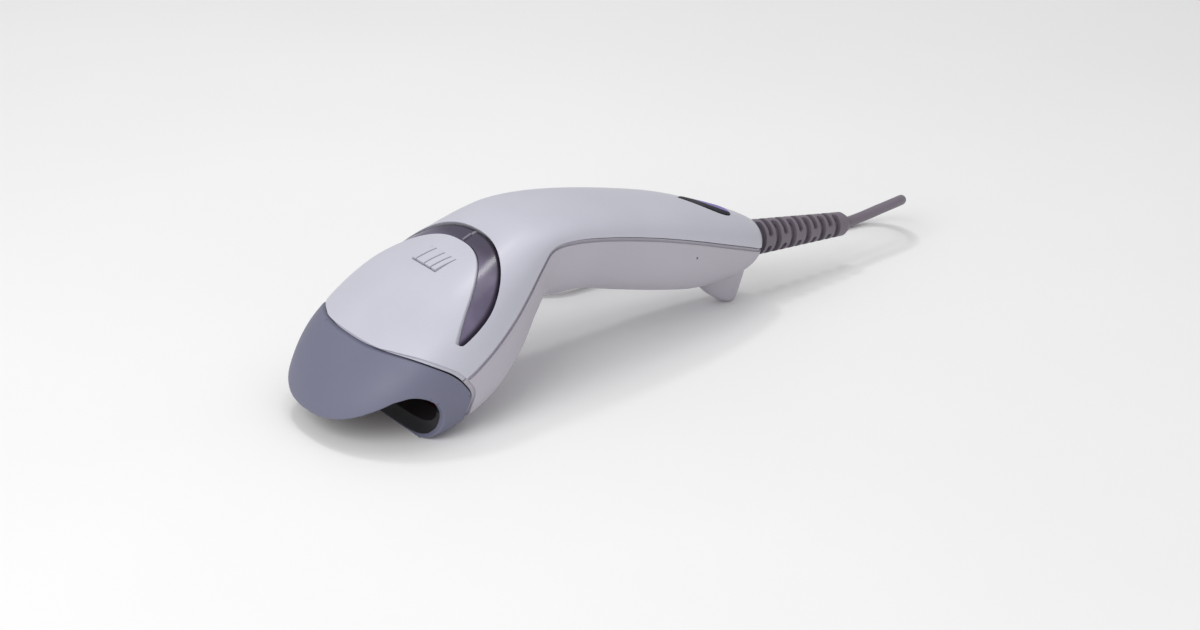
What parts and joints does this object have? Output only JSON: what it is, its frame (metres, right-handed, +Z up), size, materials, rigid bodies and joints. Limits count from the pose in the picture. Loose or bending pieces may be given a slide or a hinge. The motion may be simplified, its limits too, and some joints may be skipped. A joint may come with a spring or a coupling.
{
  "type": "handheld barcode scanner",
  "caption": "Handheld laser barcode scanner: light grey two-part case bent at the head, blue-grey soft nose, horseshoe light around the scan key, ribbed cord boot, coiled USB cord.",
  "frame": {"origin": "centre of the scanner's own box, on the surface it lies on", "axes": "+Y from the scan mouth to the cord boot, +Z up, +X to the scanner's right seen from behind the tail"},
  "size_m": [0.1303, 0.2409, 0.0513],
  "materials": {
    "case_light": "satin moulded, light cool grey",
    "case_dark": "satin moulded, warm mid grey",
    "nose_rubber": "soft matt, blue-grey",
    "black_plastic": "fine matt texture",
    "red_window": "polished dark red",
    "smoked_guide": "polished smoke",
    "badge_foil": "near black with a blue-violet sheen",
    "die_cast": "as cast",
    "steel": "plain",
    "copper": "enamelled winding wire",
    "brass": "turned",
    "mirror": "polished",
    "lens": "polished",
    "board": "solder mask",
    "chip": "moulded epoxy",
    "nylon": "natural",
    "lamp": "clear epoxy",
    "vinyl": "soft matt vinyl"
  },
  "bodies": {
    "case": {"top_cover": "case_light", "bottom_cover": "case_dark", "nose_bumper": "nose_rubber", "nose_liner": "black_plastic", "exit_window": "red_window", "light_guide": "smoked_guide", "name_badge": "badge_foil", "engine_chassis": "die_cast", "mirror_pin": "steel", "laser_barrel": "brass", "collimator_lens": "lens", "laser_diode": "steel", "collecting_mirror": "mirror", "drive_coil": "copper", "photodiode": "chip", "engine_board": "board", "button_switch": "chip", "status_led_left": "lamp", "status_led_right": "lamp", "engine_screw_left": "steel", "engine_screw_right": "steel", "decode_board": "board", "decoder_chip": "chip", "beeper": "chip", "cable_jack": "chip", "cable_plug": "nylon", "ribbon_cable": "nylon", "strain_relief": "vinyl", "cord_stub": "vinyl", "cord_run": "vinyl", "cord_coil": "vinyl", "cord_tie": "black_plastic", "cord_end": "vinyl", "usb_overmould": "vinyl", "usb_shell": "steel", "usb_contact_block": "nylon", "case_screw_left": "steel", "case_screw_right": "steel", "case_screw_tail": "steel"},
    "scan_button": {"scan_button": "case_light", "switch_plunger": "nylon"},
    "scan_mirror": {"scan_mirror": "mirror", "mirror_carrier": "black_plastic", "mirror_magnet": "steel"}
  },
  "joints": [
    {"name": "scan_button_bend", "type": "hinge", "parent": "case", "child": "scan_button", "pos_m": [0, -0.04998, 0.03102], "axis": [-1, 0, 0], "range_deg": [0, 1.5], "stiffness_Nm_per_rad": 0.6},
    {"name": "mirror_scan", "type": "hinge", "parent": "case", "child": "scan_mirror", "pos_m": [0.003, -0.03464, 0.02544], "axis": [0, -0.5, 0.866], "range_deg": [-10, 10], "stiffness_Nm_per_rad": 0.0005}
  ]
}
